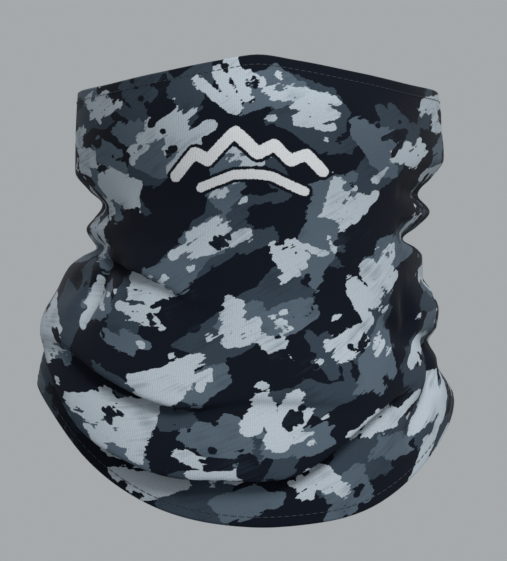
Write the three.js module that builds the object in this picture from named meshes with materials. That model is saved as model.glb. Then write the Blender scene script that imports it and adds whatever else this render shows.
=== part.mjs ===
// A printed knit neck gaiter in the shape it takes when worn: one rectangular panel of stretch knit,
// closed into a tube by a flatlock seam down the centre back, with a narrow turned hem at each end.
// The top edge peaks over the nose and falls towards the nape, the middle is drawn in at the neck, and
// the lower end spreads over the collar, lowest in front.
//
// Frame, millimetres: the origin is on the axis of the wearer's neck, at the height where the tube is
// narrowest. +Z is up, the front faces -Y, and +X is on the right of somebody looking at the front.
// A place on the cloth is an angle round the tube, 0 at the centre front and +-PI at the centre back,
// and a drop, which is the height lost from the top edge along the centre front.
import * as THREE from "three";

// Level lines of the worn tube. Each gives its height above the neck line at the front, the sides and
// the back, then its distance from the neck's axis to the left, the right, the front and the back.
const TOP_EDGE = { front: 90, side: 73, back: 62, left: 85, right: 85, chest: 96, nape: 80 };
const NECK_LINE = { front: 4, side: 3, back: 2, left: 76, right: 71, chest: 81, nape: 58 };
const BOTTOM_EDGE = { front: -128, side: -66, back: -98, left: 104, right: 92.5, chest: 96, nape: 70 };
// How far the top edge runs below a rounded line, halfway between the nose and the sides.
const TOP_CROWN = 25;

// Cloth and sewing.
const CLOTH = 0.8; // thickness of one layer of knit
const GAP = 0.3; // clearance between pieces that lie on each other
const HEM_DEPTH = 5; // height of the turned-in hem
const STITCH_INSET = 1.2; // from the hem's raw edge to the middle of its stitch row
const STITCH_WIDTH = 0.8; // width of a needle thread's row
const LOOPER_WIDTH = 3.2; // width of the looper thread's zigzag inside the hem
const THREAD = 0.4; // thickness of a row of thread
const SEAM_OPENING = 0.3; // between the panel's two edges at the centre back
const SEAM_WIDTH = 5; // width of the flatlock's threads
const LABEL_WIDTH = 22;
const LABEL_LENGTH = 28;
const LABEL_THICKNESS = 0.6; // a ribbon folded in two
const LABEL_ABOVE_HEM = 4; // from the end of the seam's threads to the label's folded end
const TACK_WIDTH = 1.2; // height of the row that holds the label

// How finely the cloth is faceted.
const FACETS_ROUND = 40;
const FACETS_DOWN = 18;
const LABEL_FACETS = 4;

const OVERALL_DROP = TOP_EDGE.front - BOTTOM_EDGE.front;

// The level line a share of the way from one to another, swollen outwards by up to four distances.
function between(upper, lower, share, swell = {}) {
  const line = {};
  for (const key of Object.keys(upper))
    line[key] = THREE.MathUtils.lerp(upper[key], lower[key], share) + (swell[key] ?? 0);
  return line;
}

// The level line a distance below another one, at the same reach.
function below(line, distance) {
  return {
    ...line,
    front: line.front - distance,
    side: line.side - distance,
    back: line.back - distance,
  };
}

// The level lines from the top edge down, with the soft rolls that the cloth makes where it is pushed
// together above and below the neck.
const LEVELS = [
  TOP_EDGE,
  below(TOP_EDGE, HEM_DEPTH),
  between(TOP_EDGE, NECK_LINE, 0.45, { left: 5.5, right: 9, chest: 10, nape: 8 }), // over the cheeks
  between(TOP_EDGE, NECK_LINE, 0.7, { left: -5, right: 2, chest: 8, nape: 2 }), // below the cheeks
  between(TOP_EDGE, NECK_LINE, 0.84, { left: 3, right: 8, chest: 4, nape: 6 }), // roll over the jaw
  NECK_LINE,
  between(NECK_LINE, BOTTOM_EDGE, 0.18, { left: 7, right: 3, chest: -4, nape: 6 }), // upper collar roll
  between(NECK_LINE, BOTTOM_EDGE, 0.4, { left: 7, right: 4, chest: -4, nape: 1 }),
  between(NECK_LINE, BOTTOM_EDGE, 0.65, { left: 7, right: -3, chest: 2, nape: 4 }), // lower collar roll
  below(BOTTOM_EDGE, -HEM_DEPTH),
  BOTTOM_EDGE,
];
const levelByDrop = new THREE.CubicInterpolant(
  LEVELS.map((line) => TOP_EDGE.front - line.front),
  LEVELS.flatMap((line) => Object.values(line)),
  Object.keys(TOP_EDGE).length,
);

// The point of the cloth's outer face at an angle and a drop.
function clothPoint(angle, drop) {
  const [front, side, back, left, right, chest, nape] = levelByDrop.evaluate(drop);
  const across = Math.sin(angle);
  const forward = Math.cos(angle);
  const level = (front + back + 2 * side) / 4;
  const tilt = (front - back) / 2;
  const saddle = (front + back - 2 * side) / 4;
  const rise = Math.abs(across);
  const straighter = forward > 0 ? 0.3 * rise + 0.7 * rise * rise - 1 + forward : 0;
  const crown = TOP_CROWN * Math.max(0, 1 - drop / (TOP_EDGE.front - NECK_LINE.front));
  return new THREE.Vector3(
    across * (across < 0 ? left : right),
    -forward * (forward > 0 ? chest : nape),
    level + tilt * forward + saddle * Math.cos(2 * angle) - crown * straighter,
  );
}

// The cloth's outward normal there, square to its two directions.
function clothNormal(angle, drop) {
  const step = 1e-3;
  const low = Math.max(drop - step, 0);
  const high = Math.min(drop + step, OVERALL_DROP);
  const round = clothPoint(angle + step, drop).sub(clothPoint(angle - step, drop));
  const down = clothPoint(angle, high).sub(clothPoint(angle, low));
  return down.cross(round).normalize();
}

// A closed solid: the patch of cloth between the first and last of the given angles and drops, from
// outer to inner, two distances along the outward normal. A ring goes all the way round the tube.
function patch(angles, drops, outer, inner, ring = false) {
  const positions = [];
  const faces = [];
  const columns = angles.length;
  const rows = drops.length;
  for (const depth of [outer, inner])
    for (const angle of angles)
      for (const drop of drops) {
        const point = clothPoint(angle, drop);
        positions.push(...point.addScaledVector(clothNormal(angle, drop), depth).toArray());
      }
  const corner = (face, column, row) => (face * columns + (column % columns)) * rows + row;
  const quad = (a, b, c, d) => faces.push(a, b, c, a, c, d);
  const last = rows - 1;
  for (let i = 0; i < (ring ? columns : columns - 1); i++) {
    for (let j = 0; j < last; j++) {
      quad(corner(0, i, j), corner(0, i, j + 1), corner(0, i + 1, j + 1), corner(0, i + 1, j));
      quad(corner(1, i, j), corner(1, i + 1, j), corner(1, i + 1, j + 1), corner(1, i, j + 1));
    }
    quad(corner(0, i, 0), corner(0, i + 1, 0), corner(1, i + 1, 0), corner(1, i, 0));
    quad(corner(0, i + 1, last), corner(0, i, last), corner(1, i, last), corner(1, i + 1, last));
  }
  const end = columns - 1;
  for (let j = 0; j < (ring ? 0 : last); j++) {
    quad(corner(0, 0, j + 1), corner(0, 0, j), corner(1, 0, j), corner(1, 0, j + 1));
    quad(corner(0, end, j), corner(0, end, j + 1), corner(1, end, j + 1), corner(1, end, j));
  }
  const geometry = new THREE.BufferGeometry();
  geometry.setAttribute("position", new THREE.Float32BufferAttribute(positions, 3));
  geometry.setIndex(faces);
  return geometry;
}

function evenly(from, to, spans) {
  return Array.from({ length: spans + 1 }, (_, i) => THREE.MathUtils.lerp(from, to, i / spans));
}

// The angle that a distance along the cloth covers at the centre back, at a drop.
function backAngle(distance, drop) {
  const step = 1e-3;
  const covered = clothPoint(Math.PI - step, drop).distanceTo(clothPoint(Math.PI + step, drop));
  return (distance * 2 * step) / covered;
}

// The drop of the place a distance above another one, measured along the cloth down the centre back.
function dropAbove(drop, distance) {
  const step = 0.05;
  let place = drop;
  let length = 0;
  while (length < distance) {
    length += clothPoint(Math.PI, place).distanceTo(clothPoint(Math.PI, place - step));
    place -= step;
  }
  return place;
}

// Drops of the two hems' raw edges, of their stitch rows and of the seam's and the label's ends.
const rowMiddle = HEM_DEPTH - STITCH_INSET;
const stitchRow = [rowMiddle - STITCH_WIDTH / 2, rowMiddle + STITCH_WIDTH / 2];
const looperRow = [rowMiddle - LOOPER_WIDTH / 2, rowMiddle + LOOPER_WIDTH / 2];
const fromBottom = ([near, far]) => [OVERALL_DROP - far, OVERALL_DROP - near];
const seamTop = looperRow[1] + GAP;
const seamBottom = OVERALL_DROP - seamTop;
const labelBottom = dropAbove(seamBottom, LABEL_ABOVE_HEM);
const labelTop = dropAbove(labelBottom, LABEL_LENGTH);
const tackTop = labelTop + GAP;
const tackBottom = tackTop + labelTop - dropAbove(labelTop, TACK_WIDTH);

// Lines round the tube that every layer shares, so that their facets lie over each other: the edges of
// the sewing at the centre back, and even ones between them.
const neckDrop = TOP_EDGE.front - NECK_LINE.front;
const openingSide = backAngle(SEAM_OPENING / 2, neckDrop);
const seamSide = backAngle(SEAM_WIDTH / 2, neckDrop);
const labelSide = backAngle(LABEL_WIDTH / 2, (labelTop + labelBottom) / 2);
const PANEL_ANGLES = [
  -Math.PI + openingSide,
  -Math.PI + seamSide,
  ...evenly(-Math.PI + labelSide, Math.PI - labelSide, FACETS_ROUND),
  Math.PI - seamSide,
  Math.PI - openingSide,
];
const RING_ANGLES = [-Math.PI, ...PANEL_ANGLES.slice(1, -1)];
const SEAM_ANGLES = [-seamSide, -openingSide, openingSide, seamSide].map((side) => Math.PI + side);
const LABEL_ANGLES = [Math.PI - labelSide, ...SEAM_ANGLES, Math.PI + labelSide];
const LABEL_DROPS = evenly(labelTop, labelBottom, LABEL_FACETS);
const SEAM_DROPS = [
  ...evenly(seamTop, labelTop, FACETS_DOWN),
  ...LABEL_DROPS.slice(1),
  seamBottom,
];
const PANEL_DROPS = [0, HEM_DEPTH, ...SEAM_DROPS, OVERALL_DROP - HEM_DEPTH, OVERALL_DROP];

// Depths of the inner layers below the outer face of the cloth.
const turningOuter = -CLOTH - GAP;
const looperOuter = turningOuter - CLOTH - GAP;
const seamInnerOuter = -CLOTH - GAP;
const labelOuter = seamInnerOuter - THREAD - GAP;
const tackOuter = labelOuter - LABEL_THICKNESS - GAP;

const PRINTED_KNIT = new THREE.MeshStandardMaterial({ color: 0x3a444f, roughness: 0.85, metalness: 0 });
const WRONG_SIDE_KNIT = new THREE.MeshStandardMaterial({ color: 0xb9c0c6, roughness: 0.9, metalness: 0 });
const SEWING_THREAD = new THREE.MeshStandardMaterial({ color: 0x1b2029, roughness: 0.6, metalness: 0 });
const SATIN_RIBBON = new THREE.MeshStandardMaterial({ color: 0xe6e8ea, roughness: 0.5, metalness: 0 });

// The panel, whose two long edges face each other across the seam's opening.
function tubePanel() {
  return patch(PANEL_ANGLES, PANEL_DROPS, 0, -CLOTH);
}

// The turned-in layer of a hem, which lies against the inside of the panel.
function hemTurning(drops) {
  return patch(PANEL_ANGLES, drops, turningOuter, turningOuter - CLOTH);
}

// A hem's row of needle thread, on the outside.
function needleRow(drops) {
  return patch(RING_ANGLES, drops, GAP + THREAD, GAP, true);
}

// A hem's looper thread, which covers the raw edge of the turning on the inside.
function looperRing(drops) {
  return patch(RING_ANGLES, drops, looperOuter, looperOuter - THREAD, true);
}

// The back seam's threads cross its opening, outside and inside, from one hem to the other.
function seamThread(outer) {
  return patch(SEAM_ANGLES, SEAM_DROPS, outer, outer - THREAD);
}

// The care label, a folded ribbon over the inside of the seam, and the row that holds its upper end.
function careLabel() {
  return patch(LABEL_ANGLES, LABEL_DROPS, labelOuter, labelOuter - LABEL_THICKNESS);
}

function labelTack() {
  return patch(LABEL_ANGLES, [tackTop, tackBottom], tackOuter, tackOuter - THREAD);
}

const gaiter = new THREE.Group();

function piece(name, geometry, material) {
  const mesh = new THREE.Mesh(geometry, material);
  mesh.name = name;
  gaiter.add(mesh);
}

piece("tube_panel", tubePanel(), PRINTED_KNIT);
piece("top_hem_turning", hemTurning([0, HEM_DEPTH]), WRONG_SIDE_KNIT);
piece("bottom_hem_turning", hemTurning(fromBottom([0, HEM_DEPTH])), WRONG_SIDE_KNIT);
piece("top_hem_needle_thread", needleRow(stitchRow), SEWING_THREAD);
piece("bottom_hem_needle_thread", needleRow(fromBottom(stitchRow)), SEWING_THREAD);
piece("top_hem_looper_thread", looperRing(looperRow), SEWING_THREAD);
piece("bottom_hem_looper_thread", looperRing(fromBottom(looperRow)), SEWING_THREAD);
piece("back_seam_outer_thread", seamThread(GAP + THREAD), SEWING_THREAD);
piece("back_seam_inner_thread", seamThread(seamInnerOuter), SEWING_THREAD);
piece("care_label", careLabel(), SATIN_RIBBON);
piece("care_label_tack", labelTack(), SEWING_THREAD);

export default gaiter;
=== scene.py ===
# %% [markdown]
# # A printed neck gaiter
#
# A neck gaiter is a tube of thin stretch knit that covers the face from the nose down, the neck and the
# collar. It is one rectangular piece of cloth: printed, closed into a tube by a flat seam down the back,
# and hemmed at both ends. Nothing in it is stiff, so its whole shape comes from the head inside it and
# from the way the spare length slouches into folds. This lesson builds that shape as one formula, sews
# it, prints it, and sets it in soft light.

import bmesh
import bpy
import numpy as np
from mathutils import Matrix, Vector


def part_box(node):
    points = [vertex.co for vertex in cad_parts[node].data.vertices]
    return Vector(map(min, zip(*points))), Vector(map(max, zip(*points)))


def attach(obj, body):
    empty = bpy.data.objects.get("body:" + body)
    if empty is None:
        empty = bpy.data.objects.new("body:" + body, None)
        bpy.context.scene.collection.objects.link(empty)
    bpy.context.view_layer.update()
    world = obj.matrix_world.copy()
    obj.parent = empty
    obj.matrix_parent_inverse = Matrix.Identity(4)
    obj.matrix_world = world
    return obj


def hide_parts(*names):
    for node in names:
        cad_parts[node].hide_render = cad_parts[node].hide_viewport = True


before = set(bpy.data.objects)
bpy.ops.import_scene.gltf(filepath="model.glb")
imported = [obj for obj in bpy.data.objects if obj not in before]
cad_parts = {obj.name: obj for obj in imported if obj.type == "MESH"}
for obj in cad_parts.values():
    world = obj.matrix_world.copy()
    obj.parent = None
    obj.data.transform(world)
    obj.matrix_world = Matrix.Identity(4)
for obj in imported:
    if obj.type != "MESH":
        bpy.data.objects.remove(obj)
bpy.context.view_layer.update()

# %% [markdown]
# ## Sizes
#
# The shapes below were drafted in millimetres for a tube that stands 218 mm tall at the centre front,
# with the origin on the axis of the neck. One factor, taken from the frame's own panel, turns drafted
# millimetres into metres, so the lesson follows the frame if that changes size.

# %% Sizes
DRAFTED_HEIGHT = 218
panel_low, panel_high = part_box("tube_panel")
MM = (panel_high[2] - panel_low[2]) / DRAFTED_HEIGHT
CLOTH = 0.8  # thickness of one layer
LAYER_GAP = 0.3  # air between two layers that are sewn together
HEM = 5  # depth of each turned hem
GIRTH = 490  # of the tube, cut flat
CUT_LENGTH = 250  # of the tube, cut flat
print(f"one drafted millimetre is {MM * 1000:.4f} mm in the frame")

# %% [markdown]
# ## Curves through a few points
#
# A silhouette is easiest to set as a handful of points that a maker would measure, with a smooth curve
# through them. A plain spline overshoots next to a sharp pinch, so this one picks gentle slopes: between
# two chords that rise or fall together it takes their harmonic mean, and at a peak or a hollow it lies
# level.


# %% Curves through points
def through(*points):
    """A smooth curve through (place, value) points: a cubic on each span, level at peaks and hollows."""
    place, value = np.array(sorted(points), dtype=float).T
    span = np.diff(place)
    chord = np.diff(value) / span
    same_way = chord[1:] * chord[:-1] > 0
    total = np.where(same_way, chord[1:] + chord[:-1], 1)
    inner = np.where(same_way, 2 * chord[1:] * chord[:-1] / total, 0)
    slope = np.concatenate([chord[:1], inner, chord[-1:]])

    def curve(at):
        """The cubic of the span that each place falls in; outside the points it keeps the end values."""
        at = np.clip(at, place[0], place[-1])
        i = np.clip(np.searchsorted(place, at, side="right") - 1, 0, len(span) - 1)
        t = (at - place[i]) / span[i]
        rise = value[i + 1] - value[i]
        bend = slope[i] * span[i] * t * (1 - t) ** 2 - slope[i + 1] * span[i] * t**2 * (1 - t)
        return value[i] + rise * t**2 * (3 - 2 * t) + bend

    return curve


def wander(*points):
    """The same curve of degrees round the tube, as a running mean over 16 degrees, so it has no corners."""
    curve = through(*points)
    steps = np.linspace(-8, 8, 9)

    def smooth_curve(degrees):
        """The mean of nine places, 2 degrees apart, taken round past the seam."""
        turned = np.asarray(degrees, dtype=float)[..., None] + steps
        return curve((turned + 180) % 360 - 180).mean(-1)

    return smooth_curve


def ease(at, low, high):
    """0 up to low, 1 from high, and a level-ended cubic between them."""
    t = np.clip((at - low) / (high - low), 0, 1)
    return t**2 * (3 - 2 * t)


print("halfway up a step:", through((0, 0), (1, 1))(0.5), ease(0.5, 0, 1))

# %% [markdown]
# ## The wearer inside the cloth
#
# Before it folds, the cloth lies on an upright body whose level sections are four quarter ellipses. Four
# curves of height say how far each section reaches to the left, the right, the front and the back. The
# tight horizontal ripples under the ears show only at the sides, so there are also two calm side curves,
# and a section changes from calm to rippled as it turns from the front to the side.

# %% The body
LEFT = through(
    (90, 84), (73, 85), (55, 86), (37, 86.5), (28, 80), (21, 74), (15.5, 77), (10, 80.5), (5, 79), (1, 76),
    (-3, 81.5), (-8, 86.5), (-19, 91), (-30, 96.5), (-44, 101), (-62, 104), (-85, 105), (-128, 107),
)
RIGHT = through(
    (90, 84), (73, 85), (58, 86), (43, 87.5), (34, 82), (26, 76.5), (18, 81.5), (11, 76), (5, 70.5),
    (1, 75.5), (-3, 78), (-12, 78), (-20, 83), (-28, 86), (-36, 84), (-43, 79), (-52, 84.5), (-69, 92.5),
    (-90, 94), (-128, 94),
)
CALM_LEFT = through((90, 84), (60, 86), (30, 82), (5, 80), (-10, 86), (-30, 96), (-62, 103), (-128, 107))
CALM_RIGHT = through((90, 84), (60, 86), (30, 82), (5, 79), (-10, 80), (-40, 85), (-70, 92), (-128, 94))
FRONT = through((90, 95), (66, 99), (40, 96), (6, 90), (-20, 89), (-60, 92), (-105, 95), (-128, 94))
BACK = through((90, 80), (55, 80), (40, 78), (24, 71), (12, 67), (0, 61), (-14, 62), (-60, 69), (-100, 71))


def body(angle, height):
    """x = reach * sin(angle) and y = -depth * cos(angle), and the outward normal of that ellipse."""
    turned = ease(np.abs(np.degrees(angle)), 48, 82)
    left = CALM_LEFT(height) + (LEFT(height) - CALM_LEFT(height)) * turned
    right = CALM_RIGHT(height) + (RIGHT(height) - CALM_RIGHT(height)) * turned
    across, forward = np.sin(angle), np.cos(angle)
    reach = np.where(across < 0, left, right)
    depth = np.where(forward > 0, FRONT(height), BACK(height))
    normal = np.stack([across / reach, -forward / depth], -1)
    normal /= np.linalg.norm(normal, axis=-1, keepdims=True)
    return across * reach, -forward * depth, normal


print("the neck is", CALM_LEFT(0) + CALM_RIGHT(0), "mm across and", FRONT(0) + BACK(0), "mm deep")

# %% [markdown]
# ## The two edges
#
# Each edge is a height that changes with the angle round the tube, in degrees, where 0 is the centre
# front, minus is to the left and 180 is the centre back. The top edge runs almost straight from the
# nose to the cheekbones. The lower edge hangs in front and rides up over the shoulders.

# %% The edges
TOP_EDGE = through(
    (-180, 62), (-135, 66), (-100, 71), (-90, 73), (-60, 76), (-35, 81.5), (-12, 87.5), (0, 90),
    (12, 87.5), (35, 81.5), (60, 76), (90, 73), (100, 71), (135, 66), (180, 62),
)
LOWER_EDGE = wander(
    (-180, -97), (-135, -82), (-90, -62), (-68, -75), (-57, -89), (-45, -103), (-30, -117), (-18, -124.5),
    (0, -128.5), (25, -124.5), (38, -117), (57, -99), (71, -84), (90, -69), (135, -82), (180, -97),
)

# %% [markdown]
# ## Folds that lie over themselves
#
# Where the spare length slouches, the cloth runs down, turns under, climbs a little and turns down again.
# A height field can't do that, because one place on the body then holds three layers. So the run of the
# cloth is the free parameter, and the fold is written as two formulas of it. With t the run past the
# fold's middle over the fold's tightness:
#
# - height falls with the run, but gains taken * (1 + tanh t) / 2, so the fold takes up that much cloth,
#   and where that climbs faster than the run falls, the cloth goes up;
# - the cloth stands off the body by -lift * tanh t, which dies away on both sides, so the layer above
#   the fold is outside and the layer below it is inside.
#
# The middle's height, the cloth taken up and the lift are curves of the angle, so a fold can wander
# across the front and fade out.


# %% Folds
class Fold:
    """One fold: its middle line, cloth taken up and lift against degrees, its tightness and its spread."""

    def __init__(self, line, taken, lift, tight, above, below):
        self.line = wander(*line)
        self.taken = wander(*taken)
        self.lift = wander(*lift)
        self.tight, self.above, self.below = tight, above, below


def bell(start, middle, end, most):
    """Points of a curve that is 0 up to start and from end, and most at the middle."""
    return (-180, 0), (start, 0), (middle, most), (end, 0), (180, 0)


JAW_CREASE = Fold(
    line=((-75, 0), (-55, -5), (-45, -9), (-38, -11), (-28, -18), (-20, -25), (0, -32)),
    taken=bell(-80, -52, -14, 7),
    lift=bell(-86, -52, -8, 3.2),
    tight=2.2, above=12, below=9,
)
CHEST_FOLD = Fold(
    line=(
        (-75, -40), (-58, -46), (-54, -51), (-44, -58), (-33, -66), (-24, -73), (-15, -76), (-7, -70),
        (6, -71), (24, -72), (60, -66),
    ),
    taken=((-180, 0), (-78, 0), (-52, 5), (-33, 10), (-22, 7), (-10, 2), (20, 2), (45, 0), (180, 0)),
    lift=((-180, 0), (-80, 0), (-52, 3.4), (-33, 4.4), (-22, 3.4), (-10, 1.3), (20, 1.1), (48, 0), (180, 0)),
    tight=3, above=17, below=9,
)
COWL_FOLD = Fold(
    line=(
        (-130, -22), (-100, -27), (-80, -35), (-68, -50), (-56, -71), (-46, -86), (-37, -92), (-28, -100),
        (-21, -105), (-9, -105), (0, -107), (9, -105), (17, -100), (24, -90), (28, -85), (35, -77),
        (42, -70), (60, -60),
    ),
    taken=(
        (-180, 0), (-140, 0), (-100, 8), (-66, 12), (-36, 16), (-12, 12), (0, 11), (14, 11), (25, 8),
        (36, 9), (46, 4), (56, 0), (180, 0),
    ),
    lift=(
        (-180, 0), (-145, 0), (-100, 3), (-66, 5.5), (-36, 6.5), (-12, 4.4), (0, 3.8), (14, 3.8), (25, 3),
        (36, 3), (46, 2), (58, 0), (180, 0),
    ),
    tight=2.6, above=22, below=13,
)
NECK_FOLD = Fold(
    line=((-180, 18), (-150, 13), (-120, 16), (-95, 6), (95, 8), (125, 15), (150, 20), (180, 18)),
    taken=((-180, 12), (-140, 13), (-84, 0), (84, 0), (140, 10), (180, 12)),
    lift=((-180, 4.4), (-140, 4.2), (-84, 0), (84, 0), (140, 3.6), (180, 4.4)),
    tight=4.6, above=11, below=10,
)
NAPE_FOLD = Fold(
    line=((-180, -16), (-150, -21), (-125, -12), (-100, -6), (95, -12), (125, -18), (150, -13), (180, -16)),
    taken=((-180, 15), (-140, 13), (-94, 0), (88, 0), (140, 12), (180, 15)),
    lift=((-180, 5), (-140, 4.6), (-94, 0), (88, 0), (140, 4), (180, 5)),
    tight=5, above=12, below=11,
)
COLLAR_FOLD = Fold(
    line=((-180, -56), (-150, -50), (-120, -44), (62, -58), (90, -50), (125, -44), (150, -52), (180, -56)),
    taken=((-180, 14), (-150, 12), (-118, 0), (66, 0), (95, 8), (130, 12), (180, 14)),
    lift=((-180, 4.8), (-150, 4.2), (-114, 0), (60, 0), (95, 2.8), (130, 4), (180, 4.8)),
    tight=4.8, above=12, below=11,
)
FOLDS = (NECK_FOLD, JAW_CREASE, NAPE_FOLD, CHEST_FOLD, COLLAR_FOLD, COWL_FOLD)


def settle(angle, run):
    """Height and stand-off of the cloth at a run, a height that falls evenly with the cloth's length."""
    degrees = np.degrees(angle)
    height, stand = run.copy(), np.zeros_like(run)
    passed = np.zeros_like(run)
    for fold in FOLDS:
        taken = fold.taken(degrees)
        past = fold.line(degrees) - passed - taken / 2 - run
        step = np.tanh(past / fold.tight)
        spread = np.where(past < 0, fold.above, fold.below)
        height += taken * (1 + step) / 2
        stand -= fold.lift(degrees) * step * np.exp(-((past / spread) ** 2) / 2)
        passed = passed + taken
    return height, stand


def slack(angle):
    """The cloth that all folds take up at an angle."""
    return sum(fold.taken(np.degrees(angle)) for fold in FOLDS)


print("length of cloth down the centre front:", DRAFTED_HEIGHT + float(slack(np.array(0.0))), "mm")

# %% [markdown]
# ## Dimples, creases and slow waves
#
# Where a fold ends, stretch cloth makes a dimple like the one in a cushion's corner. A dimple is a small
# oval pressed in by a bell curve. A crease is the same bell curve, of the distance from a line of a few
# points. Last come slow waves, a few sines of seeded random direction, so that no part is ruled.

# %% Dimples, creases and waves
ARC = 85  # millimetres of cloth to a radian, near enough for small shapes

# angle, height, half width, half height, lean in degrees, depth
DIMPLES = (
    (-52, -7, 7, 3.2, -20, 4.5),
    (-58, -21, 5.5, 8, 10, 6.5),
    (-70, -14, 5, 6, 0, 1.5),
    (50, -37, 8, 4.5, -24, 5),
    (57, -30, 3.5, 7, 10, 4),
    (66, -66, 3, 10, -8, 1.6),
    (-112, 8, 16, 4, 8, 3),
    (118, 6, 18, 4, -8, 3),
    (150, 22, 20, 5, 4, 2.5),
    (-150, 20, 18, 5, -6, 2.5),
    (100, -24, 12, 5, 14, 3),
)

# points of angle and height, half width, depth
CREASES = (
    (((33, -36), (40, -41), (48, -42.5), (54, -41), (60, -33)), 2, 1.2),
    (((56, 2), (57, -6)), 1.2, 0.8),
    (((72, -46), (66, -60), (60, -70), (54, -80), (51, -88)), 3, 4.5),
    (((-96, 22), (-70, 17), (-52, 18)), 3, 1.2),
    (((-96, 3), (-76, 2), (-60, -2)), 3, 2),
    (((96, 28), (72, 25), (56, 27)), 3, 1.2),
    (((98, 6), (74, 6), (58, 10)), 3, 1.6),
    (((-40, 27), (-20, 24), (0, 26), (20, 24), (44, 30)), 9, 0.9),
)


def pressed_in(angle, height):
    """How far the dimples and creases press the cloth in, each by a bell curve of distance."""
    across, depth = angle * ARC, np.zeros_like(height)
    for degrees, middle, half_width, half_height, lean, most in DIMPLES:
        lean = np.radians(lean)
        u = across - np.radians(degrees) * ARC
        v = height - middle
        along = (u * np.cos(lean) + v * np.sin(lean)) / half_width
        over = (v * np.cos(lean) - u * np.sin(lean)) / half_height
        depth += most * np.exp(-(along**2 + over**2) / 2)
    for points, half_width, most in CREASES:
        corners = np.array([(np.radians(degrees) * ARC, level) for degrees, level in points])
        depth += most * np.exp(-((distance_to(corners, across, height) / half_width) ** 2) / 2)
    return depth


def segment_distance(x, y, start, end):
    """Distance from points to a straight line: the rest of the way after its nearest point."""
    along_x, along_y = end - start
    length = max(along_x**2 + along_y**2, 1e-9)
    share = np.clip(((x - start[0]) * along_x + (y - start[1]) * along_y) / length, 0, 1)
    return np.hypot(x - start[0] - share * along_x, y - start[1] - share * along_y)


def distance_to(corners, x, y):
    """Distance from each place to the nearest point of an open line of corners."""
    return np.min([segment_distance(x, y, a, b) for a, b in zip(corners[:-1], corners[1:])], axis=0)


chance = np.random.default_rng(7)
WAVES = [
    (chance.integers(2, 9), chance.uniform(0.02, 0.09), chance.uniform(0, 6.28)) for _ in range(14)
]


def waves(angle, run):
    """A few sines of whole numbers of turns round the tube and slow changes down it."""
    return sum(np.sin(turns * angle + rate * run + start) for turns, rate, start in WAVES) * 0.16


# %% [markdown]
# ## The worn cloth
#
# Now the whole cloth is one function of two parameters: the angle round the tube, and the share of the
# cloth's length from the top edge to the lower one. The normal comes from the differences between
# neighbours on a fine grid, because every layer, hem and stitch is laid at a distance along it.


# %% The worn cloth
def cloth(angle, share):
    """The outer face of the cloth, in metres, for arrays of angles and of shares of its length."""
    degrees = np.degrees(angle)
    top = TOP_EDGE(degrees)
    length = top - LOWER_EDGE(degrees) + slack(angle)
    run = top - share * length
    height, stand = settle(angle, run)
    x, y, normal = body(angle, height)
    calm_edges = ease(share, 0, 0.06) * ease(1 - share, 0, 0.06)
    stand = stand - pressed_in(angle, height) + waves(angle, run) * calm_edges
    return np.stack([x + stand * normal[..., 0], y + stand * normal[..., 1], height], -1) * MM


def outward(angle, share):
    """The cloth's unit normal: the cross product of its change down and its change round."""
    step = 1e-4
    low, high = np.clip(share - step, 0, 1), np.clip(share + step, 0, 1)
    down = cloth(angle, high) - cloth(angle, low)
    round_ = cloth(angle + step, share) - cloth(angle - step, share)
    normal = np.cross(down, round_)
    return normal / np.linalg.norm(normal, axis=-1, keepdims=True)


def layer(angle, share, depth):
    """The cloth's outer face moved a distance in drafted millimetres, outwards or inwards."""
    return cloth(angle, share) + outward(angle, share) * np.asarray(depth)[..., None] * MM


check = cloth(np.array([0.0, 0.0, np.pi]), np.array([0.0, 1.0, 0.5]))
print("centre front, top and bottom, and centre back:", check.round(4).tolist())

# %% [markdown]
# ## Meshes from grids
#
# Every piece is one of two kinds: a slab, which is a patch of cloth between two layers with its rims
# closed, or a cord, which is a round section carried along a path. Both come from whole arrays of points
# and a face table made by shifting one array of numbers against itself.


# %% Mesh makers
def grid_faces(rows, columns, wrap):
    """Quads of a rows by columns grid of numbers; wrap joins the last column to the first."""
    number = np.arange(rows * columns).reshape(rows, columns)
    across = np.roll(number, -1, axis=1) if wrap else number[:, 1:]
    here = number if wrap else number[:, :-1]
    return np.stack([here[:-1], here[1:], across[1:], across[:-1]], -1).reshape(-1, 4)


def make_piece(name, points, faces, smooth=True):
    """A mesh object at the origin from arrays of points and quads."""
    mesh = bpy.data.meshes.new(name)
    mesh.vertices.add(len(points))
    mesh.vertices.foreach_set("co", np.ascontiguousarray(points, dtype=np.float32).ravel())
    mesh.loops.add(faces.size)
    mesh.loops.foreach_set("vertex_index", faces.astype(np.int32).ravel())
    mesh.polygons.add(len(faces))
    mesh.polygons.foreach_set("loop_start", np.arange(0, faces.size, faces.shape[1], dtype=np.int32))
    mesh.update(calc_edges=True)
    mesh.validate()
    mesh.polygons.foreach_set("use_smooth", np.full(len(mesh.polygons), smooth))
    piece = bpy.data.objects.new(name, mesh)
    bpy.context.collection.objects.link(piece)
    return piece


def slab(name, outer, inner, wrap=False):
    """A closed patch from two equal grids, rows down and columns to the right as seen from outside."""
    rows, columns = outer.shape[:2]
    front = grid_faces(rows, columns, wrap)
    back = front[:, ::-1] + rows * columns
    number = np.arange(rows * columns).reshape(rows, columns)
    border = [number[0, ::-1], number[-1]] if wrap else [
        np.concatenate([number[:, 0], number[-1, 1:], number[-2::-1, -1], number[0, -2:0:-1]])
    ]
    walls = []
    for loop in border:
        following = np.roll(loop, -1)
        walls.append(np.stack([following, loop, loop + rows * columns, following + rows * columns], -1))
    points = np.concatenate([outer.reshape(-1, 3), inner.reshape(-1, 3)])
    return make_piece(name, points, np.concatenate([front, back, *walls]))


def shade_flatter_than(piece, degrees):
    """Keeps an edge sharp where its faces meet at more than some degrees."""
    piece.data.set_sharp_from_angle(angle=np.radians(degrees))


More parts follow.
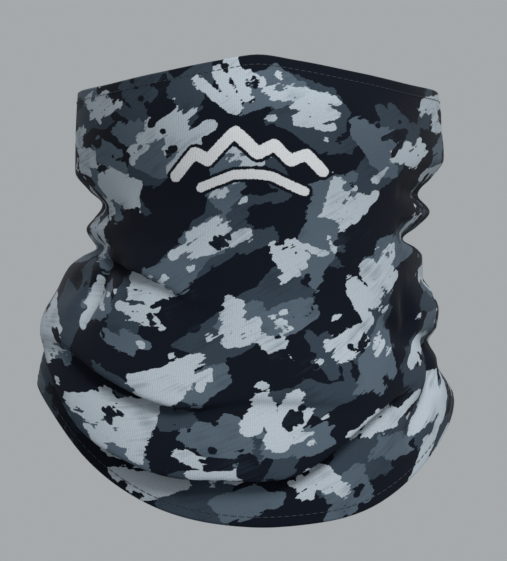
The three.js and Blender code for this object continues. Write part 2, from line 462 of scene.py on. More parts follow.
# %% [markdown]
# ## The panel
#
# The panel is a slab 0.8 mm thick that goes round from one side of the back seam to the other. Its grid
# is finer across the front than behind, because a fold turns in a few millimetres while the rest of the
# cloth hardly bends.

# %% The panel's grid
ROWS, COLUMNS = 168, 280
SEAM_HALF_OPENING = 0.02  # the two edges all but touch under the seam's threads


def columns_round(count):
    """Angles from one side of the seam to the other, closer together in front than behind."""
    even = np.linspace(-1, 1, count)
    crowded = 0.58 * even + 0.42 * even**3
    return crowded * (np.pi - SEAM_HALF_OPENING / BACK(0))


def panel_shares():
    """Shares of the cloth's length, with three close rows at each rim and at each hem's stitches."""
    length = DRAFTED_HEIGHT + float(slack(np.array(0.0)))
    edge = np.array([0, 0.5, 1.5, HEM - 1.6, HEM - 0.8, HEM]) / length
    middle = np.linspace(edge[-1], 1 - edge[-1], ROWS - 2 * (len(edge) - 1))
    return np.concatenate([edge[:-1], middle, 1 - edge[-2::-1]])


shares = panel_shares()
angles = columns_round(COLUMNS)
angle_grid, share_grid = np.meshgrid(angles, shares)
outer_face = cloth(angle_grid, share_grid)
normals = outward(angle_grid, share_grid)
panel = slab("tube_panel_cloth", outer_face, outer_face - normals * CLOTH * MM)
print("panel:", len(panel.data.vertices), "points,", len(panel.data.polygons), "faces")

# %% [markdown]
# ## The camouflage
#
# The print is made on the flat cloth, before the tube is closed. It is a brushed camouflage in four
# tones: near-black ground, slate, blue-grey, and pale grey, with dark touches over everything. Nothing in
# it is copied from a sold print: every shape comes from a fixed seed. The broad tones are uneven patches,
# and the pale and dark ones are dabs, a few straight strokes side by side, with drops flung off them.
#
# For each tone, numpy works out one number at each point of the cloth: the distance to the nearest
# outline, plus inside and minus outside. A distance stays smooth between points, so the shader can cut it
# into an edge far finer than the mesh, and can tear that edge with noise.

# %% Places on the flat cloth
ROUND = GIRTH / (2 * np.pi)  # millimetres of flat cloth to a radian
GOLDEN_SHARE = 0.618034
flat_x = angle_grid * ROUND
flat_y = -share_grid * CUT_LENGTH
chance = np.random.default_rng(23)


def spread(count, shake):
    """Even places over the cloth: down in equal steps, across by golden-ratio steps, then shaken."""
    number = np.arange(count)
    across = GIRTH * ((number * GOLDEN_SHARE + chance.random()) % 1 - 0.5)
    down = -CUT_LENGTH * (number + 0.5) / count
    return np.stack([across, down], -1) + chance.uniform(-shake, shake, (count, 2))


print("three of the places:", spread(3, 0).round(1).tolist())

# %% Patches, dabs and drops
TILTS = np.radians([35, 35, -42, 8, 75])  # the ways the brush goes; the first is the commonest


def patch(middle, size):
    """Corners at middle + size * (random reach) round a circle, stretched and turned."""
    corners = 12
    turns = np.linspace(0, 2 * np.pi, corners, endpoint=False) + chance.uniform(-0.2, 0.2, corners)
    reach = size * chance.uniform(0.55, 1.15, corners)
    long, short = reach * np.cos(turns) * 1.5, reach * np.sin(turns) * 0.8
    tilt = chance.choice(TILTS) + chance.normal(0, 0.3)
    turned = [long * np.cos(tilt) - short * np.sin(tilt), long * np.sin(tilt) + short * np.cos(tilt)]
    return middle + np.stack(turned, -1)


def dab(middle, size):
    """Strokes side by side as (start, end, half width), each slid along and turned a little."""
    tilt = chance.choice(TILTS) + chance.normal(0, 0.25)
    count = chance.integers(2, 6)
    strokes = []
    for place in np.arange(count) - (count - 1) / 2:
        turned = tilt + chance.normal(0, 0.22)
        along = np.array([np.cos(turned), np.sin(turned)])
        beside = np.array([-np.sin(tilt), np.cos(tilt)])
        width = size * chance.uniform(0.17, 0.32)
        centre = middle + beside * place * size * 0.42 + along * size * chance.uniform(-0.45, 0.45)
        half = along * size * chance.uniform(0.45, 1.0)
        strokes.append((centre - half, centre + half, width))
    return strokes


def drops(middle, size, count):
    """Round drops, which are strokes of no length, flung up to 1.8 times a dab's size away."""
    turns, reach = chance.uniform(0, 2 * np.pi, count), size * chance.uniform(1.0, 1.8, count)
    places = middle + np.stack([reach * np.cos(turns), reach * np.sin(turns)], -1)
    return [(place, place, width) for place, width in zip(places, chance.uniform(1.0, 1.9, count))]


def patches(count, smallest, largest):
    """Patches spread over the cloth, of random sizes."""
    return [patch(middle, chance.uniform(smallest, largest)) for middle in spread(count, 7)]


def dabs(count, smallest, largest, flung):
    """Dabs spread over the cloth, of random sizes, with drops round each."""
    strokes = []
    for middle in spread(count, 9):
        size = chance.uniform(smallest, largest)
        strokes += dab(middle, size) + drops(middle, size, flung)
    return strokes


tones = {
    "slate": (patches(62, 12, 20), dabs(18, 8, 14, 1)),
    "blue_grey": (patches(46, 10, 18), dabs(30, 8, 14, 1)),
    "pale": (patches(8, 5, 9), dabs(68, 8, 15, 2) + dabs(50, 3, 6, 1)),
    "dark": ([], dabs(34, 6, 10, 2) + dabs(70, 2, 5, 1)),
}
print({tone: (len(some), len(more)) for tone, (some, more) in tones.items()}, "patches and strokes")

# %% [markdown]
# ## The generic mark
#
# Over the mouth such a gaiter carries a printed mark. This one has a plain mountain ridge over one brushed
# sweep, pale grey with a dark outline. Both are rows of strokes, and the outline is the same distance cut
# a little further out.

# %% The mark
MARK_OUTLINE = 1.6
RIDGE = ((-38, -54), (-28, -44), (-22, -49), (-10, -37), (0, -49), (7, -44), (14, -51), (21, -47), (29, -55))
SWEEP = ((-26, -62), (-11, -58.5), (6, -60), (21, -66))
mark_strokes = [
    (np.array(start), np.array(end), half_width)
    for route, half_width in ((RIDGE, 2.9), (SWEEP, 2.4))
    for start, end in zip(route[:-1], route[1:])
]
print("the mark has", len(mark_strokes), "strokes")

# %% Distances on the flat cloth
NOWHERE = -9.0  # the distance given to cloth that is far from every shape


def distance_inside(corners, x, y):
    """Distance to an outline's nearest side, plus inside it and minus outside by the crossing rule."""
    nearest, inside = np.full(x.shape, 99.0), np.zeros(x.shape, dtype=bool)
    for start, end in zip(corners, np.roll(corners, -1, axis=0)):
        nearest = np.minimum(nearest, segment_distance(x, y, start, end))
        between = (start[1] > y) != (end[1] > y)
        rise = end[1] - start[1] if abs(end[1] - start[1]) > 1e-9 else 1e-9
        inside ^= between & (x < start[0] + (y - start[1]) / rise * (end[0] - start[0]))
    return np.where(inside, nearest, -nearest)


def add_to(field, corners, measure):
    """Keeps the larger of the field and one shape's distance, worked out only near the shape."""
    low, high = corners.min(0) + NOWHERE, corners.max(0) - NOWHERE
    near = (flat_x > low[0]) & (flat_x < high[0]) & (flat_y > low[1]) & (flat_y < high[1])
    field[near] = np.maximum(field[near], measure(flat_x[near], flat_y[near]))


def tone_field(outlines, strokes):
    """The largest distance over a tone's patches and strokes at every point of the panel's grid."""
    field = np.full(flat_x.shape, NOWHERE)
    for corners in outlines:
        add_to(field, corners, lambda x, y, c=corners: distance_inside(c, x, y))
    for start, end, width in strokes:
        add_to(
            field, np.array([start, end]),
            lambda x, y, a=start, b=end, w=width: w - segment_distance(x, y, a, b),
        )
    return field


fields = {tone: tone_field(*shapes) for tone, shapes in tones.items()}
fields["mark"] = tone_field([], mark_strokes)
print({tone: f"{(field > 0).mean():.0%}" for tone, field in fields.items()}, "of the cloth")

# %% [markdown]
# ## Laying the print on a mesh
#
# A mesh carries the print in two things: a UV map, which says where each point was on the flat cloth, and
# one number a point for each tone. Both are stored under names, and the materials read them by name.

# %% Storing the print
UV_NAME = "flat cloth"


def lay_print(piece, flat_places, values):
    """Stores the flat places, as shares of the cut piece, and each tone's distances on a mesh."""
    mesh = piece.data
    corner = np.empty(len(mesh.loops), dtype=np.int32)
    mesh.loops.foreach_get("vertex_index", corner)
    uv = flat_places / [GIRTH, CUT_LENGTH] + [0.5, 1]
    mesh.uv_layers.new(name=UV_NAME).uv.foreach_set("vector", uv[corner].astype(np.float32).ravel())
    for tone, field in values.items():
        store = mesh.attributes.new(tone, "FLOAT", "POINT")
        store.data.foreach_set("value", np.asarray(field, dtype=np.float32).ravel())


flat_grid = np.stack([flat_x, flat_y], -1).reshape(-1, 2)
lay_print(panel, np.tile(flat_grid, (2, 1)), {t: np.tile(f.ravel(), 2) for t, f in fields.items()})
shade_flatter_than(panel, 50)
print("the panel carries", len(fields), "tones")

# %% [markdown]
# ## The turned hems
#
# At each end the cloth is turned to the inside over a round fold and sewn down, which stops the knit from
# laddering and gives the edge its rounded look. The turning is one section carried round the edge: a half
# round over the rim, then a second layer 5 mm deep. Its print is the print at the rim, carried on.

# %% The turned hems
FOLD_RADIUS = CLOTH + LAYER_GAP / 2
FOLD_STEPS = np.linspace(0, np.pi, 9)
NEAR_RIM = 0.015  # share of the cloth over which its direction at the rim is taken


def length_at(angle):
    """The run of cloth from the top edge to the lower one, in drafted millimetres."""
    degrees = np.degrees(angle)
    return TOP_EDGE(degrees) - LOWER_EDGE(degrees) + slack(angle)


def from_edge(angle, run, depth, lower):
    """A point some run in from an edge and some depth inwards; a negative run carries on past it."""
    run = np.broadcast_to(run, angle.shape)
    depth = np.broadcast_to(depth, angle.shape)
    share = np.maximum(run, 0) / length_at(angle)
    share = 1 - share if lower else share
    place = layer(angle, share, -depth)
    inner_share = np.full(angle.shape, 1 - NEAR_RIM if lower else NEAR_RIM)
    rim = cloth(angle, np.full(angle.shape, float(lower)))
    inwards = cloth(angle, inner_share) - rim
    inwards /= np.linalg.norm(inwards, axis=-1, keepdims=True)
    return place + inwards * np.minimum(run, 0)[..., None] * MM


def hem_section():
    """Runs and depths round the section: half circle over the rim, down the layer, and back inside it."""
    middle = FOLD_RADIUS
    outer = np.stack([-middle * np.sin(FOLD_STEPS), middle - middle * np.cos(FOLD_STEPS)], -1)
    small = LAYER_GAP / 2
    inner = np.stack([-small * np.sin(FOLD_STEPS), middle + small * np.cos(FOLD_STEPS)], -1)
    layer_end = [(1.7, 2 * middle), (3.3, 2 * middle), (HEM - 0.2, 2 * middle), (HEM, 2 * middle - 0.2)]
    layer_back = [(HEM, middle + small + 0.2), (HEM - 0.2, middle + small), (2.5, middle + small)]
    return np.array([*outer, *layer_end, *layer_back, *inner])


def hem(name, lower):
    """The section carried round the edge, closed on itself at the ends beside the seam."""
    section = hem_section()
    around, run = np.meshgrid(angles, section[:, 0])
    depth = np.broadcast_to(section[:, 1][:, None], around.shape)
    points = from_edge(around, run, depth, lower)
    rows, columns = around.shape
    number = np.arange(rows * columns).reshape(rows, columns)
    if lower:
        number = number[:, ::-1]
    following = np.roll(number, -1, axis=0)
    sides = np.stack([number[:, :-1], number[:, 1:], following[:, 1:], following[:, :-1]], -1).reshape(-1, 4)
    piece = make_piece(name, points.reshape(-1, 3), sides[:, ::-1])
    close_ends(piece)
    edge = -1 if lower else 0
    across = around * ROUND
    down = -CUT_LENGTH * (1.0 if lower else 0.0) + (1 if lower else -1) * run
    values = {tone: np.tile(field[edge], rows) for tone, field in fields.items()}
    lay_print(piece, np.stack([across, down], -1).reshape(-1, 2), values)
    shade_flatter_than(piece, 50)
    return piece


def close_ends(piece):
    """Fills each open ring of edges with one face and turns every face outwards."""
    work = bmesh.new()
    work.from_mesh(piece.data)
    open_edges = [edge for edge in work.edges if edge.is_boundary]
    if open_edges:
        bmesh.ops.holes_fill(work, edges=open_edges)
    bmesh.ops.recalc_face_normals(work, faces=work.faces)
    work.to_mesh(piece.data)
    work.free()


top_hem = hem("top_hem_turned_cloth", lower=False)
bottom_hem = hem("bottom_hem_turned_cloth", lower=True)
print("hems:", len(top_hem.data.polygons), "and", len(bottom_hem.data.polygons), "faces")

# %% [markdown]
# ## Sewing thread
#
# A seam is hundreds of the same short shape: thread that dives into the cloth at both ends. One function
# makes them all at once from an array of routes, six-sided and only a few dozen faces each, thinner at
# the ends where the thread is pulled in.

# %% Thread makers
SIDES = 6
PITCH = 2.8  # millimetres from one stitch to the next
THREAD_RADIUS = 0.2


def threads(name, routes, facing_out, radius):
    """Tubes round routes of shape (stitches, points, 3): centre + radius * (cos * side + sin * up)."""
    stitches, count = routes.shape[:2]
    along = np.gradient(routes, axis=1)
    along /= np.linalg.norm(along, axis=-1, keepdims=True)
    side = np.cross(along, facing_out)
    side /= np.linalg.norm(side, axis=-1, keepdims=True)
    up = np.cross(side, along)
    swell = radius * MM * (0.55 + 0.45 * np.sin(np.linspace(0, np.pi, count)))
    turn = np.arange(SIDES) * 2 * np.pi / SIDES
    spread = side[:, :, None] * np.cos(turn)[:, None] + up[:, :, None] * np.sin(turn)[:, None]
    points = routes[:, :, None] + spread * swell[None, :, None, None]
    ring = grid_faces(count, SIDES, wrap=True)
    cap = np.array([[0, 1, 2, 3], [0, 3, 4, 5]])
    one = np.concatenate([ring[:, ::-1], cap, cap[:, ::-1] + (count - 1) * SIDES])
    every = one[None] + (np.arange(stitches) * count * SIDES)[:, None, None]
    piece = make_piece(name, points.reshape(-1, 3), every.reshape(-1, 4))
    close_ends(piece)
    return piece


def arched(start, end, bow, count=5):
    """Routes from start to end arrays of (angle, run from the edge) that bow outwards in the middle."""
    step = np.linspace(0, 1, count)
    middle = start[:, None] + (end - start)[:, None] * step[:, None]
    return middle, bow * np.sin(np.pi * step)


def hem_row(name, lower, reach_before, reach_after, depth, bow, radius):
    """Stitches round a hem; each goes from one run to another across its part of the pitch."""
    count = int(GIRTH / PITCH)
    start_angle = -np.pi + 2 * np.pi * (np.arange(count) + 0.1) / count
    end_angle = start_angle + 2 * np.pi * 0.8 / count
    start = np.stack([start_angle, np.full(count, reach_before)], -1)
    end = np.stack([end_angle, np.full(count, reach_after)], -1)
    places, lift = arched(start, end, bow)
    angle, run = places[..., 0], places[..., 1]
    share = run / length_at(angle)
    share = 1 - share if lower else share
    centre = from_edge(angle, run, depth - np.broadcast_to(lift, angle.shape), lower)
    inside = np.sign(-depth) if depth > CLOTH else 1
    return threads(name, centre, outward(angle, share) * inside, radius)


ROW = HEM - 1.2  # the stitches' distance from the edge
INSIDE = 2 * FOLD_RADIUS + THREAD_RADIUS * 0.6
rows_of_thread = {}
for end_name, lower in (("top", False), ("bottom", True)):
    rows_of_thread[f"{end_name}_hem_needle_thread"] = hem_row(
        f"{end_name}_hem_needle_stitches", lower, ROW, ROW, -0.02, 0.14, 0.17
    )
    rows_of_thread[f"{end_name}_hem_looper_thread"] = hem_row(
        f"{end_name}_hem_looper_stitches", lower, ROW - 1.5, ROW + 1.5, INSIDE, -0.1, THREAD_RADIUS
    )
print("rows of thread:", list(rows_of_thread))

# %% [markdown]
# ## The flat seam at the back
#
# The tube is closed with a flatlock: the two edges lie side by side, and thread goes back and forth over
# them on both faces, so nothing thick rubs on the neck. On each face it is two rows of short stitches
# with a zigzag between them.

# %% The flat seam
SEAM_HALF_WIDTH = 2.3
SEAM_END = 0.6  # from each hem to the seam's first stitch
back_run = float(length_at(np.array(np.pi)))
seam_count = int((back_run - 2 * (HEM + SEAM_END)) / PITCH)


def on_back(across, run, depth):
    """Points beside the centre back: across in millimetres turned into an angle, wrapped at the seam."""
    angle = np.pi + across / BACK(0)
    angle = (angle + np.pi) % (2 * np.pi) - np.pi
    share = run / back_run
    return layer(angle, share, -depth), outward(angle, share)


def seam_rows(name, depth, bow, turn_over):
    """Both rows and the zigzag of one face of the seam, in one mesh."""
    begin = HEM + SEAM_END + PITCH * np.arange(seam_count)
    routes = []
    for left, right, first, last in (
        (-SEAM_HALF_WIDTH, -SEAM_HALF_WIDTH, 0.1, 0.9),
        (SEAM_HALF_WIDTH, SEAM_HALF_WIDTH, 0.1, 0.9),
        (-SEAM_HALF_WIDTH, SEAM_HALF_WIDTH, 0.05, 0.5),
        (SEAM_HALF_WIDTH, -SEAM_HALF_WIDTH, 0.55, 1.0),
    ):
        start = np.stack([np.full(seam_count, left), begin + first * PITCH], -1)
        end = np.stack([np.full(seam_count, right), begin + last * PITCH], -1)
        routes.append(arched(start, end, bow))
    places = np.concatenate([route[0] for route in routes])
    lift = np.broadcast_to(routes[0][1], places.shape[:2])
    centre, normal = on_back(places[..., 0], places[..., 1], depth - lift)
    return threads(name, centre, normal * turn_over, THREAD_RADIUS)


seam_outer = seam_rows("back_seam_outer_stitches", -0.12, 0.1, 1)
seam_inner = seam_rows("back_seam_inner_stitches", CLOTH + 0.12, -0.1, -1)
print("seam:", seam_count, "stitches in each row")

# %% [markdown]
# ## The care label
#
# A narrow satin ribbon, folded in two and sewn on the inside of the seam by its cut ends. It is blank
# here. Its route goes down, round the fold and up again, and its free end stands off the cloth a little.

# %% The care label
LABEL_WIDTH, LABEL_LENGTH, RIBBON = 22, 28, 0.22
LABEL_ABOVE_SEAM_END = 4
label_low = back_run - HEM - SEAM_END - LABEL_ABOVE_SEAM_END
label_high = label_low - LABEL_LENGTH
LABEL_DEPTH = CLOTH + 0.75


def label_route(count):
    """Runs and depths down one ply, round the fold and up the other, with its stand-off and its side."""
    down = np.linspace(0, LABEL_LENGTH - 0.3, count)
    bend = np.linspace(0, np.pi, 7)[1:-1]
    run = np.concatenate([down, LABEL_LENGTH - 0.3 + 0.3 * np.sin(bend), down[::-1]])
    ply = np.concatenate([np.full(count, 0.0), 0.3 - 0.3 * np.cos(bend), np.full(count, 0.6)])
    return run, ply


def label_surface(offset):
    """One face of the ribbon: the route carried across, curling away from the cloth toward its fold."""
    run, ply = label_route(22)
    slope_run, slope_ply = np.gradient(run), np.gradient(ply)
    size = np.hypot(slope_run, slope_ply)
    run, ply = run + offset * slope_ply / size, ply - offset * slope_run / size
    across, run_grid = np.meshgrid(np.linspace(-LABEL_WIDTH / 2, LABEL_WIDTH / 2, 15), run)
    free = np.clip(run_grid / LABEL_LENGTH, 0, 1)
    curl = 2.2 * free**2 + 0.35 * free * np.cos(across / 4.5) + 0.5 * free * (across / 11) ** 2
    depth = LABEL_DEPTH + ply[:, None] + curl
    return on_back(across, label_high + run_grid, depth)[0]


label = slab("care_label_ribbon", label_surface(RIBBON / 2), label_surface(-RIBBON / 2))
close_ends(label)
shade_flatter_than(label, 60)

tack_start = np.linspace(-LABEL_WIDTH / 2 + 0.6, LABEL_WIDTH / 2 - 2.4, 9)
tack_route, tack_bow = arched(
    np.stack([tack_start, np.full(9, label_high + 1.0)], -1),
    np.stack([tack_start + 1.9, np.full(9, label_high + 1.0)], -1), -0.1,
)
tack_centre, tack_normal = on_back(
    tack_route[..., 0], tack_route[..., 1],
    LABEL_DEPTH + 0.6 + RIBBON / 2 + 0.1 - np.broadcast_to(tack_bow, tack_route.shape[:2]),
)
tack = threads("care_label_tack_stitches", tack_centre, -tack_normal, THREAD_RADIUS)
print("label:", len(label.data.polygons), "faces")

# %% [markdown]
# ## Materials as sums
#
# A material is a graph of nodes, but its maths reads better as sums. A small class holds one socket of
# numbers and turns +, -, * and / into Math nodes. Every other node comes from one helper that takes its
# type, its settings and what goes into its sockets.


# %% A small language for materials
class Number:
    """A number that varies over the surface; arithmetic on it adds Math nodes."""

    def __init__(self, tree, socket):
        self.tree, self.socket = tree, socket

    def math(self, operation, *terms):
        """One Math node with the given operation on these terms."""
        sockets = dict(enumerate(terms))
        return node(self.tree, "ShaderNodeMath", {"operation": operation}, sockets)

    def __add__(self, other):
        """The sum, as a node."""
        return self.math("ADD", self, other)

    def __mul__(self, other):
        """The product, as a node."""
        return self.math("MULTIPLY", self, other)

    def __sub__(self, other):
        """The difference, as a node."""
        return self.math("SUBTRACT", self, other)

    def __rsub__(self, other):
        """A plain number less this one, as a node."""
        return self.math("SUBTRACT", other, self)

    def __truediv__(self, other):
        """The quotient, as a node."""
        return self.math("DIVIDE", self, other)

    __radd__, __rmul__ = __add__, __mul__

    def between_0_and_1(self):
        """The number, cut off below 0 and above 1."""
        return self.math("MINIMUM", self.math("MAXIMUM", self, 0.0), 1.0)

    def sine(self):
        """The sine of the number."""
        return self.math("SINE", self)


def node(tree, kind, settings=(), sockets=(), out=0):
    """One node: its settings first, then the values or links of its sockets; gives one output."""
    made = tree.nodes.new(kind)
    for name, value in dict(settings).items():
        setattr(made, name, value)
    for place, value in dict(sockets).items():
        if isinstance(value, Number):
            tree.links.new(value.socket, made.inputs[place])
        else:
            made.inputs[place].default_value = value
    return Number(tree, made.outputs[out])


def mixed(tree, share, first, second):
    """A colour between two, through a Mix node."""
    return node(tree, "ShaderNodeMix", {"data_type": "RGBA"}, {0: share, 6: first, 7: second}, out=2)


def surface(name, **constants):
    """A new material and its shader, with the constants set on the shader's own sockets."""
    made = bpy.data.materials.new(name)
    made.use_nodes = True
    shader = made.node_tree.nodes["Principled BSDF"]
    for socket, value in constants.items():
        shader.inputs[socket.replace("_", " ")].default_value = value
    return made, made.node_tree, shader


def feed(tree, shader, **terms):
    """Links varying terms to the shader's sockets."""
    for socket, term in terms.items():
        tree.links.new(term.socket, shader.inputs[socket.replace("_", " ")])


print("materials can now be written as sums")

# %% [markdown]
# ## Printed knit
#
# The print is heat-set ink in a fine jersey. Each tone's edge is where its distance is zero, and two
# noises move that edge: a fine one for the grain of the dry brush, and a long one that drags it along
# the stroke. Inside a stroke the brush ran full or thin, so the ink goes over to a thinner colour by a
# noise that is long along the stroke and narrow across it. The knit itself is columns of loops less
# than a millimetre wide, too small for a mesh, so they are a bump worked out from sines of the flat
# place.

# %% Printed knit
NEAR_BLACK = (0.0022, 0.0040, 0.0090, 1)
SLATE_INK = (0.030, 0.045, 0.062, 1)
BLUE_GREY_INK = (0.078, 0.108, 0.138, 1)
PALE_INK = (0.40, 0.45, 0.49, 1)
MARK_INK = (0.62, 0.63, 0.64, 1)
THIN_SLATE = (0.020, 0.031, 0.044, 1)
THIN_BLUE_GREY = (0.055, 0.078, 0.101, 1)
THIN_PALE = (0.235, 0.275, 0.31, 1)
THIN_BLACK = (0.010, 0.016, 0.025, 1)
PRINT_ORDER = (  # tone, ink, the ink where the brush ran thin, and how much its edge is torn
    ("slate", SLATE_INK, THIN_SLATE, 1),
    ("blue_grey", BLUE_GREY_INK, THIN_BLUE_GREY, 1),
    ("pale", PALE_INK, THIN_PALE, 1.1),
    ("dark", NEAR_BLACK, THIN_BLACK, 0.5),
)
TONE_SHIFT = 31.0  # how far along its noises each tone starts, so that no two tones are alike
WALE, COURSE = 0.8, 0.6  # width of a column of loops and height of a row, in millimetres
STROKE = np.radians(32)  # the way the brush went


def flat_place(tree):
    """Millimetres across and up the flat cloth, from the stored map."""
    uv = node(tree, "ShaderNodeUVMap", {"uv_map": UV_NAME})
    across = node(tree, "ShaderNodeSeparateXYZ", sockets={0: uv})
    up = node(tree, "ShaderNodeSeparateXYZ", sockets={0: uv}, out=1)
    return across * GIRTH, up * CUT_LENGTH


def noise(tree, across, up, detail, shift):
    """A noise from -1 to 1 over two numbers."""
    place = node(tree, "ShaderNodeCombineXYZ", sockets={0: across + shift, 1: up - shift})
    settings = {"noise_dimensions": "2D"}
    sockets = {"Vector": place, "Scale": 1.0, "Detail": detail, "Roughness": 0.6}
    return node(tree, "ShaderNodeTexNoise", settings, sockets) * 2.0 - 1.0


def turned_to_stroke(across, up):
    """The flat place turned by the stroke's angle: how far along the stroke, and how far beside it."""
    along = across * float(np.cos(STROKE)) + up * float(np.sin(STROKE))
    beside = up * float(np.cos(STROKE)) - across * float(np.sin(STROKE))
    return along, beside


def torn_mask(tree, tone, across, up, shift, tear):
    """1 inside a tone's shapes and 0 outside: its distance moved by noises, cut 0.2 mm wide."""
    distance = node(tree, "ShaderNodeAttribute", {"attribute_name": tone}, out=2)
    along, beside = turned_to_stroke(across, up)
    drag = noise(tree, along * 0.06, beside * 0.42, 2.0, shift)
    grain = noise(tree, across * 0.22, up * 0.22, 3.0, shift * 2)
    wet = noise(tree, across * 0.05, up * 0.05, 1.0, shift + 7.0) * 1.6 + 0.45
    dry_brush = (drag * (3.4 * tear) + grain * (1.2 * tear)) * wet.between_0_and_1()
    moved = distance + 0.1 + dry_brush + grain * (1.3 * tear)
    return (moved / 0.2 + 0.5).between_0_and_1()


def brush_marks(tree, across, up, shift):
    """0 where a stroke is full and up to 1 where it ran thin: long narrow noise along the stroke."""
    along, beside = turned_to_stroke(across, up)
    hairs = noise(tree, along * 0.035, beside * 0.6, 3.0, shift + 3.0)
    cloud = noise(tree, across * 0.045, up * 0.045, 2.0, shift + 17.0)
    return (hairs * 1.1 + cloud * 1.6 - 0.12).between_0_and_1()


def printed_colour(tree, across, up):
    """The tones laid over one another in the order in which they are printed."""
    colour = NEAR_BLACK
    for layer_number, (tone, full_ink, thin_ink, tear) in enumerate(PRINT_ORDER):
        shift = TONE_SHIFT * layer_number
        ink = mixed(tree, brush_marks(tree, across, up, shift), full_ink, thin_ink)
        colour = mixed(tree, torn_mask(tree, tone, across, up, shift, tear), colour, ink)
    mark = node(tree, "ShaderNodeAttribute", {"attribute_name": "mark"}, out=2)
    rough = noise(tree, across * 0.8, up * 0.8, 2.0, 5.0) * 0.5
    outline = ((mark + rough + MARK_OUTLINE) / 0.25 + 0.5).between_0_and_1()
    inside = ((mark + rough) / 0.25 + 0.5).between_0_and_1()
    return mixed(tree, inside, mixed(tree, outline, colour, NEAR_BLACK), MARK_INK)


def knit_height(across, up):
    """Loops of a jersey: columns as a rounded wave, crossed by rows that lean one way and the other."""
    column = (across * (2 * np.pi / WALE)).sine()
    lean = (across * (np.pi / WALE)).sine()
    row = (up * (2 * np.pi / COURSE) + lean * lean * 3.0).sine()
    return column * 0.5 + row * 0.35


knit, tree, shader = surface(
    "printed_knit", Roughness=0.88, Specular_IOR_Level=0.10, Sheen_Weight=0.03, Sheen_Roughness=0.5,
)
across, up = flat_place(tree)
height = knit_height(across, up)
fibre = noise(tree, across * 1.6, up * 1.6, 2.0, 11.0)
inked = printed_colour(tree, across, up)
# painted shade: the colour is darkened toward near-black where the knit's height is low, in the valleys
# between the loops, and at random dark fibre specks from the fibre noise
fibre_specks_and_knit_shade = mixed(tree, (0.10 - fibre * 0.16 - height * 0.05).between_0_and_1(), inked, NEAR_BLACK)
bump = node(
    tree, "ShaderNodeBump", sockets={"Strength": 0.5, "Distance": 0.00012, "Height": height + fibre * 0.5},
)
feed(tree, shader, Base_Color=fibre_specks_and_knit_shade, Normal=bump)
print("printed knit:", len(tree.nodes), "nodes")

# %% [markdown]
# ## The wrong side, the threads and the ribbon
#
# Ink that is pressed into one face hardly reaches the other, so the inside is pale with a ghost of the
# print. The threads are plain dark polyester, and the label is white satin.

# %% The other materials
wrong_side, tree, shader = surface(
    "wrong_side_knit", Roughness=0.9, Specular_IOR_Level=0.2, Sheen_Weight=0.08,
)
across, up = flat_place(tree)
ghost = mixed(tree, 0.22, (0.55, 0.57, 0.59, 1), printed_colour(tree, across, up))
bump = node(
    tree, "ShaderNodeBump", sockets={"Strength": 0.5, "Distance": 0.00012, "Height": knit_height(across, up)},
)
feed(tree, shader, Base_Color=ghost, Normal=bump)

dark_thread = surface("dark_thread", Base_Color=(0.022, 0.030, 0.040, 1), Roughness=0.6)[0]
looper_thread = surface("looper_thread", Base_Color=(0.030, 0.038, 0.050, 1), Roughness=0.6)[0]
satin, tree, shader = surface(
    "satin_ribbon", Base_Color=(0.74, 0.75, 0.76, 1), Roughness=0.42, Sheen_Weight=0.1,
)
place = node(tree, "ShaderNodeTexCoord", out=3)
weave = node(tree, "ShaderNodeTexNoise", sockets={"Vector": place, "Scale": 900.0, "Detail": 2.0})
bump = node(tree, "ShaderNodeBump", sockets={"Strength": 0.25, "Distance": 0.0001, "Height": weave})
feed(tree, shader, Normal=bump)

panel.data.materials.append(knit)
panel.data.materials.append(wrong_side)
side_faces = (len(shares) - 1) * (len(angles) - 1)
face_number = np.arange(len(panel.data.polygons))
which = (face_number >= side_faces) & (face_number < 2 * side_faces)
panel.data.polygons.foreach_set("material_index", which.astype(np.int32))
for piece, finish in (
    (top_hem, knit), (bottom_hem, knit), (label, satin), (tack, dark_thread),
    (seam_outer, dark_thread), (seam_inner, looper_thread),
):
    piece.data.materials.append(finish)
for name, piece in rows_of_thread.items():
    piece.data.materials.append(looper_thread if "looper" in name else dark_thread)
print("materials:", [made.name for made in bpy.data.materials])
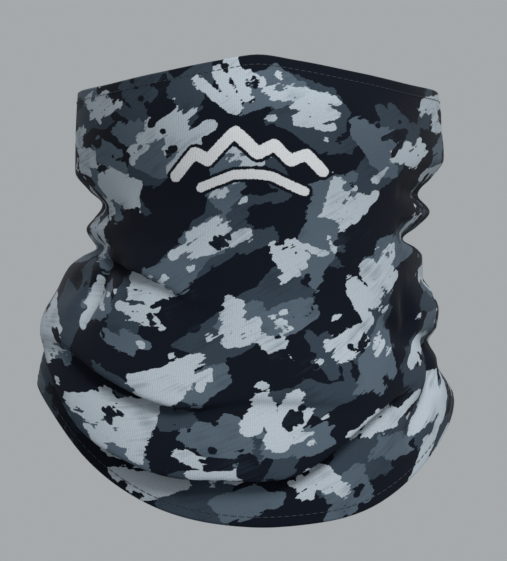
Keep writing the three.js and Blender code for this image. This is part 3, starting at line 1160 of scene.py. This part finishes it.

# %% [markdown]
# ## How the pieces stand for the frame's parts
#
# Nothing on a gaiter moves by itself, so every piece rides the one body. Each piece takes the place of
# one part of the frame. The cloth is cut 490 by 250 mm.

# %% Bodies and parts
stands_for = {
    "tube_panel": panel,
    "top_hem_turning": top_hem,
    "bottom_hem_turning": bottom_hem,
    "back_seam_outer_thread": seam_outer,
    "back_seam_inner_thread": seam_inner,
    "care_label": label,
    "care_label_tack": tack,
    **rows_of_thread,
}
for part, piece in stands_for.items():
    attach(piece, "root")
    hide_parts(part)
print(len(stands_for), "pieces stand for", len(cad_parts), "parts")

# %% [markdown]
# ## Floor, light and camera
#
# The floor is a plain pale disc, well below. The light is what a soft box gives: one broad lamp above
# and in front, a little to the right, with a pale surround that fills the shadows. The camera stands
# level with the middle of the gaiter, far enough away that both sides are seen straight.

# %% Floor
FLOOR_RADIUS, FLOOR_HEIGHT = 3.0, -0.4
turn = np.linspace(0, 2 * np.pi, 96, endpoint=False)
rim = np.stack([FLOOR_RADIUS * np.cos(turn), FLOOR_RADIUS * np.sin(turn), np.full(96, FLOOR_HEIGHT)], -1)
floor = make_piece("floor", rim, np.arange(96)[None])
floor.data.materials.append(surface("floor", Base_Color=(0.44, 0.455, 0.47, 1), Roughness=0.9)[0])

# %% Light and camera
MIDDLE = (0.0, 0.0, -0.015)


def lamp(name, place, size, power):
    """A square lamp that faces the middle of the gaiter."""
    made = bpy.data.lights.new(name, "AREA")
    made.size, made.energy = size, power
    held = bpy.data.objects.new(name, made)
    bpy.context.collection.objects.link(held)
    held.location = place
    away = np.array(place) - np.array(MIDDLE)
    held.rotation_euler = (np.arctan2(np.hypot(away[0], away[1]), away[2]), 0, np.arctan2(away[0], -away[1]))


lamp("soft box", (0.42, -1.1, 1.15), 0.75, 29)
lamp("back light", (-0.5, 1.3, 1.1), 1.0, 13)
world = bpy.data.worlds.new("pale surround")
bpy.context.scene.world = world
world.use_nodes = True
world.node_tree.nodes["Background"].inputs["Color"].default_value = (0.376, 0.397, 0.413, 1)
bpy.context.scene.view_settings.view_transform = "Standard"

DISTANCE, VIEW_WIDTH, SENSOR = 7.0, 0.2388, 36
camera_data = bpy.data.cameras.new("camera")
camera_data.sensor_fit, camera_data.sensor_width = "HORIZONTAL", SENSOR
camera_data.lens = SENSOR * DISTANCE / VIEW_WIDTH
camera = bpy.data.objects.new("camera", camera_data)
bpy.context.collection.objects.link(camera)
camera.location = (-0.0021, -DISTANCE, -0.0143)
camera.rotation_euler = (np.pi / 2, 0, 0)
bpy.context.scene.camera = camera
